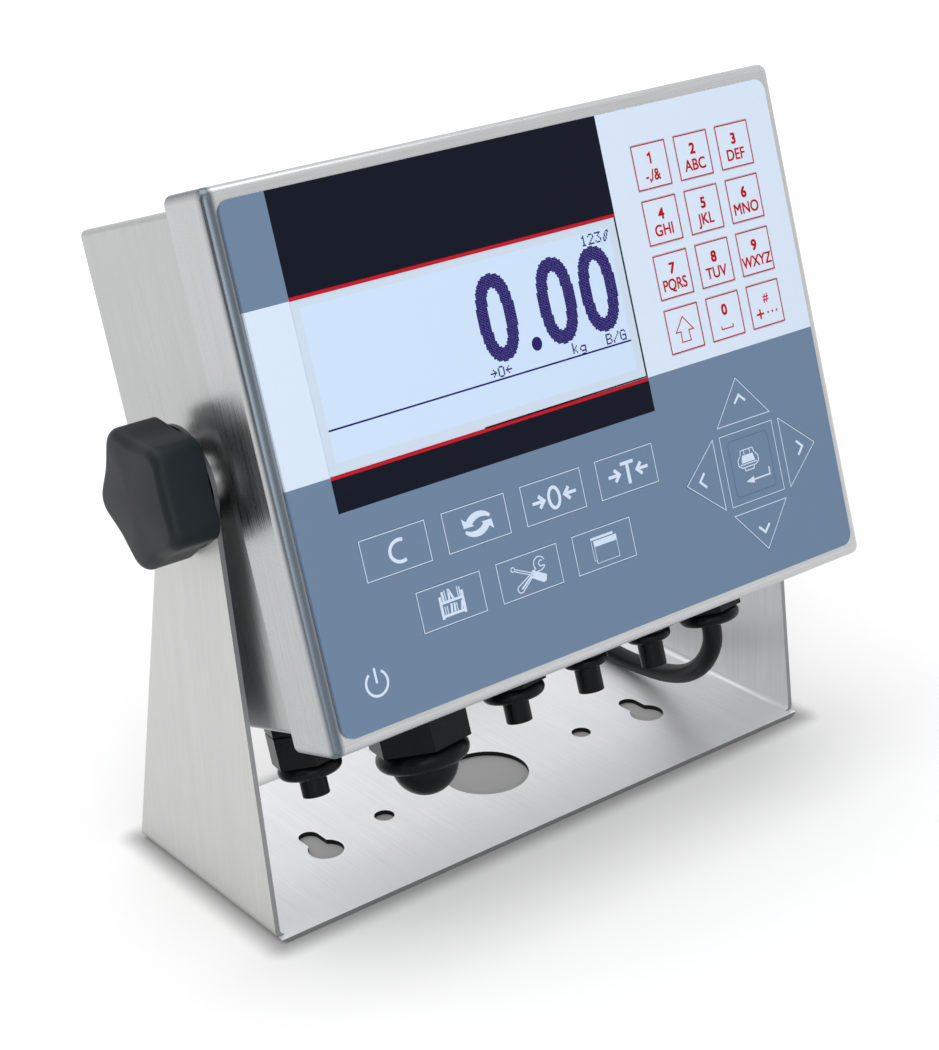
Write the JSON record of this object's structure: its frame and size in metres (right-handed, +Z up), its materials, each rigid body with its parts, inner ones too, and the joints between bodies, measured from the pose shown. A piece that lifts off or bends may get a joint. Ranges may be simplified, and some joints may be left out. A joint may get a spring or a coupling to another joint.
{
  "type": "weighing indicator",
  "caption": "Weighing indicator: steel enclosure with display window and membrane keypad, tilting in a U-bracket with hand knobs, with cable glands and a coiled mains lead.",
  "frame": {"origin": "centre of the cable hole in the bracket's base plate, on the plate's underside", "axes": "+X to the right of someone who faces the display, along the tilt axis; +Y away from them; +Z up, square to the base plate"},
  "size_m": [0.3626, 0.2847, 0.2857],
  "materials": {
    "brushed_sheet": "brushed stainless sheet, grain along the sheet",
    "turned_steel": "bright turned stainless",
    "gasket_rubber": "matt moulded rubber",
    "printed_film": "fine-grained printed polyester film",
    "key_film": "fine-grained printed polyester film",
    "switch_film": "plain laminated foil",
    "window_film": "clear smooth window",
    "display": "backlit liquid crystal panel",
    "circuit_board": "green solder mask",
    "supply_case": "plain folded sheet",
    "brass_standoff": "plain turned brass",
    "black_nylon": "satin moulded nylon",
    "lead_sheath": "matt rubber sheath",
    "plated_pin": "nickel-plated pin"
  },
  "bodies": {
    "base": {"bracket": "brushed_sheet", "mains_lead": "lead_sheath", "mains_lead_coil": "lead_sheath", "mains_lead_tail": "lead_sheath", "mains_plug": "lead_sheath", "plug_pins": "plated_pin", "coil_tie": "lead_sheath"},
    "head": {"rear_housing": "brushed_sheet", "front_cover": "brushed_sheet", "cover_gasket": "gasket_rubber", "keypad_face": "printed_film", "switch_foil": "switch_film", "display_window": "window_film", "display_module": "display", "main_board": "circuit_board", "mains_supply": "supply_case", "board_standoffs": "brass_standoff", "cover_pillars": "turned_steel", "cover_bolts": "turned_steel", "pivot_bushes": "turned_steel", "friction_washers": "gasket_rubber", "gland_seals": "gasket_rubber", "gland_bodies": "black_nylon", "gland_lock_nuts": "black_nylon", "blanking_rods": "black_nylon", "dome_plug": "black_nylon"},
    "clamp_left": {"hub_washer_left": "turned_steel"},
    "hand_knob_left": {"knob_left": "black_nylon", "clamp_stud_left": "turned_steel"},
    "clamp_right": {"hub_washer_right": "turned_steel"},
    "hand_knob_right": {"knob_right": "black_nylon", "clamp_stud_right": "turned_steel"},
    "button_1": {"key_1": "key_film"},
    "button_2": {"key_2": "key_film"},
    "button_3": {"key_3": "key_film"},
    "button_4": {"key_4": "key_film"},
    "button_5": {"key_5": "key_film"},
    "button_6": {"key_6": "key_film"},
    "button_7": {"key_7": "key_film"},
    "button_8": {"key_8": "key_film"},
    "button_9": {"key_9": "key_film"},
    "button_shift": {"key_shift": "key_film"},
    "button_0": {"key_0": "key_film"},
    "button_symbol": {"key_symbol": "key_film"},
    "button_clear": {"key_clear": "key_film"},
    "button_switch": {"key_switch": "key_film"},
    "button_zero": {"key_zero": "key_film"},
    "button_tare": {"key_tare": "key_film"},
    "button_recall": {"key_recall": "key_film"},
    "button_setup": {"key_setup": "key_film"},
    "button_menu": {"key_menu": "key_film"},
    "button_enter": {"key_enter": "key_film"},
    "button_up": {"key_up": "key_film"},
    "button_right": {"key_right": "key_film"},
    "button_down": {"key_down": "key_film"},
    "button_left": {"key_left": "key_film"},
    "button_power": {"key_power": "key_film"}
  },
  "joints": [
    {"name": "head_tilt", "type": "hinge", "parent": "base", "child": "head", "pos_m": [0, -0.01, 0.1752], "axis": [1, 0, 0], "range_deg": [-75, 30], "deforming": ["mains_lead"]},
    {"name": "clamp_travel_left", "type": "slide", "parent": "head", "child": "clamp_left", "axis": [-1, 0, 0], "range_m": [0, 0.0025]},
    {"name": "knob_turn_left", "type": "hinge", "parent": "clamp_left", "child": "hand_knob_left", "pos_m": [0, -0.01, 0.1752], "axis": [-1, 0, 0], "range_deg": [0, 720]},
    {"name": "clamp_travel_right", "type": "slide", "parent": "head", "child": "clamp_right", "axis": [1, 0, 0], "range_m": [0, 0.0025]},
    {"name": "knob_turn_right", "type": "hinge", "parent": "clamp_right", "child": "hand_knob_right", "pos_m": [0, -0.01, 0.1752], "axis": [1, 0, 0], "range_deg": [0, 720]},
    {"name": "press_1", "type": "slide", "parent": "head", "child": "button_1", "axis": [0, 0.9578, -0.2874], "range_m": [0, 0.0003], "stiffness_N_per_m": 100},
    {"name": "press_2", "type": "slide", "parent": "head", "child": "button_2", "axis": [0, 0.9578, -0.2874], "range_m": [0, 0.0003], "stiffness_N_per_m": 100},
    {"name": "press_3", "type": "slide", "parent": "head", "child": "button_3", "axis": [0, 0.9578, -0.2874], "range_m": [0, 0.0003], "stiffness_N_per_m": 100},
    {"name": "press_4", "type": "slide", "parent": "head", "child": "button_4", "axis": [0, 0.9578, -0.2874], "range_m": [0, 0.0003], "stiffness_N_per_m": 100},
    {"name": "press_5", "type": "slide", "parent": "head", "child": "button_5", "axis": [0, 0.9578, -0.2874], "range_m": [0, 0.0003], "stiffness_N_per_m": 100},
    {"name": "press_6", "type": "slide", "parent": "head", "child": "button_6", "axis": [0, 0.9578, -0.2874], "range_m": [0, 0.0003], "stiffness_N_per_m": 100},
    {"name": "press_7", "type": "slide", "parent": "head", "child": "button_7", "axis": [0, 0.9578, -0.2874], "range_m": [0, 0.0003], "stiffness_N_per_m": 100},
    {"name": "press_8", "type": "slide", "parent": "head", "child": "button_8", "axis": [0, 0.9578, -0.2874], "range_m": [0, 0.0003], "stiffness_N_per_m": 100},
    {"name": "press_9", "type": "slide", "parent": "head", "child": "button_9", "axis": [0, 0.9578, -0.2874], "range_m": [0, 0.0003], "stiffness_N_per_m": 100},
    {"name": "press_shift", "type": "slide", "parent": "head", "child": "button_shift", "axis": [0, 0.9578, -0.2874], "range_m": [0, 0.0003], "stiffness_N_per_m": 100},
    {"name": "press_0", "type": "slide", "parent": "head", "child": "button_0", "axis": [0, 0.9578, -0.2874], "range_m": [0, 0.0003], "stiffness_N_per_m": 100},
    {"name": "press_symbol", "type": "slide", "parent": "head", "child": "button_symbol", "axis": [0, 0.9578, -0.2874], "range_m": [0, 0.0003], "stiffness_N_per_m": 100},
    {"name": "press_clear", "type": "slide", "parent": "head", "child": "button_clear", "axis": [0, 0.9578, -0.2874], "range_m": [0, 0.0003], "stiffness_N_per_m": 100},
    {"name": "press_switch", "type": "slide", "parent": "head", "child": "button_switch", "axis": [0, 0.9578, -0.2874], "range_m": [0, 0.0003], "stiffness_N_per_m": 100},
    {"name": "press_zero", "type": "slide", "parent": "head", "child": "button_zero", "axis": [0, 0.9578, -0.2874], "range_m": [0, 0.0003], "stiffness_N_per_m": 100},
    {"name": "press_tare", "type": "slide", "parent": "head", "child": "button_tare", "axis": [0, 0.9578, -0.2874], "range_m": [0, 0.0003], "stiffness_N_per_m": 100},
    {"name": "press_recall", "type": "slide", "parent": "head", "child": "button_recall", "axis": [0, 0.9578, -0.2874], "range_m": [0, 0.0003], "stiffness_N_per_m": 100},
    {"name": "press_setup", "type": "slide", "parent": "head", "child": "button_setup", "axis": [0, 0.9578, -0.2874], "range_m": [0, 0.0003], "stiffness_N_per_m": 100},
    {"name": "press_menu", "type": "slide", "parent": "head", "child": "button_menu", "axis": [0, 0.9578, -0.2874], "range_m": [0, 0.0003], "stiffness_N_per_m": 100},
    {"name": "press_enter", "type": "slide", "parent": "head", "child": "button_enter", "axis": [0, 0.9578, -0.2874], "range_m": [0, 0.0003], "stiffness_N_per_m": 100},
    {"name": "press_up", "type": "slide", "parent": "head", "child": "button_up", "axis": [0, 0.9578, -0.2874], "range_m": [0, 0.0003], "stiffness_N_per_m": 100},
    {"name": "press_right", "type": "slide", "parent": "head", "child": "button_right", "axis": [0, 0.9578, -0.2874], "range_m": [0, 0.0003], "stiffness_N_per_m": 100},
    {"name": "press_down", "type": "slide", "parent": "head", "child": "button_down", "axis": [0, 0.9578, -0.2874], "range_m": [0, 0.0003], "stiffness_N_per_m": 100},
    {"name": "press_left", "type": "slide", "parent": "head", "child": "button_left", "axis": [0, 0.9578, -0.2874], "range_m": [0, 0.0003], "stiffness_N_per_m": 100},
    {"name": "press_power", "type": "slide", "parent": "head", "child": "button_power", "axis": [0, 0.9578, -0.2874], "range_m": [0, 0.0003], "stiffness_N_per_m": 100}
  ],
  "couplings": [
    {"joint": "knob_turn_left", "follows": "clamp_travel_left", "rad_per_m": 5026.5},
    {"joint": "knob_turn_right", "follows": "clamp_travel_right", "rad_per_m": 5026.5}
  ]
}
